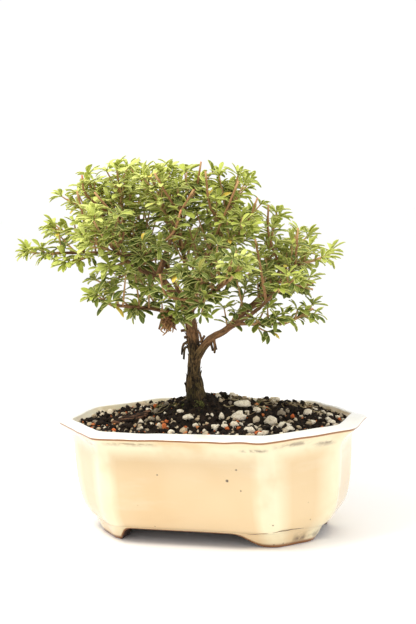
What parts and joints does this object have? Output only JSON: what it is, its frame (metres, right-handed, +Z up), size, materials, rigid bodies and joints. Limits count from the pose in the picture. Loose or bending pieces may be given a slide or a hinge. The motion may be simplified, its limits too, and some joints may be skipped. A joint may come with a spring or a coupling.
{
  "type": "bonsai tree in a pot",
  "caption": "Small fine-leaved bonsai with an upright trunk and a wide airy canopy, standing in soil in an elongated eight-sided glazed pot on bracket feet.",
  "frame": {"origin": "middle of the whole object's outline, on the surface that it stands on", "axes": "+Z up, X along the pot's long side, the front towards -Y"},
  "size_m": [0.2158, 0.1712, 0.248],
  "materials": {
    "cream_glaze": "gloss",
    "black_plastic": "matte",
    "peat_and_grit": "matte",
    "bark": "matte",
    "leaf": "satin"
  },
  "bodies": {
    "root": {"pot": "cream_glaze", "drain_screen_left": "black_plastic", "drain_screen_right": "black_plastic", "soil": "peat_and_grit", "bark_chip": "bark", "trunk_and_limbs": "bark", "leafy_spray_01": "leaf", "leafy_spray_02": "leaf", "leafy_spray_03": "leaf", "leafy_spray_04": "leaf", "leafy_spray_05": "leaf", "leafy_spray_06": "leaf", "leafy_spray_07": "leaf", "leafy_spray_08": "leaf", "leafy_spray_09": "leaf", "leafy_spray_10": "leaf", "leafy_spray_11": "leaf", "leafy_spray_12": "leaf", "leafy_spray_13": "leaf", "leafy_spray_14": "leaf", "leafy_spray_15": "leaf", "leafy_spray_16": "leaf", "leafy_spray_17": "leaf", "leafy_spray_18": "leaf", "leafy_spray_19": "leaf", "leafy_spray_20": "leaf", "leafy_spray_21": "leaf", "leafy_spray_22": "leaf", "leafy_spray_23": "leaf", "leafy_spray_24": "leaf", "leafy_spray_25": "leaf", "leafy_spray_26": "leaf", "leafy_spray_27": "leaf", "leafy_spray_28": "leaf", "leafy_spray_29": "leaf", "leafy_spray_30": "leaf", "leafy_spray_31": "leaf", "leafy_spray_32": "leaf", "leafy_spray_33": "leaf", "leafy_spray_34": "leaf", "leafy_spray_35": "leaf", "leafy_spray_36": "leaf", "leafy_spray_37": "leaf", "leafy_spray_38": "leaf", "leafy_spray_39": "leaf", "leafy_spray_40": "leaf"}
  },
  "joints": []
}
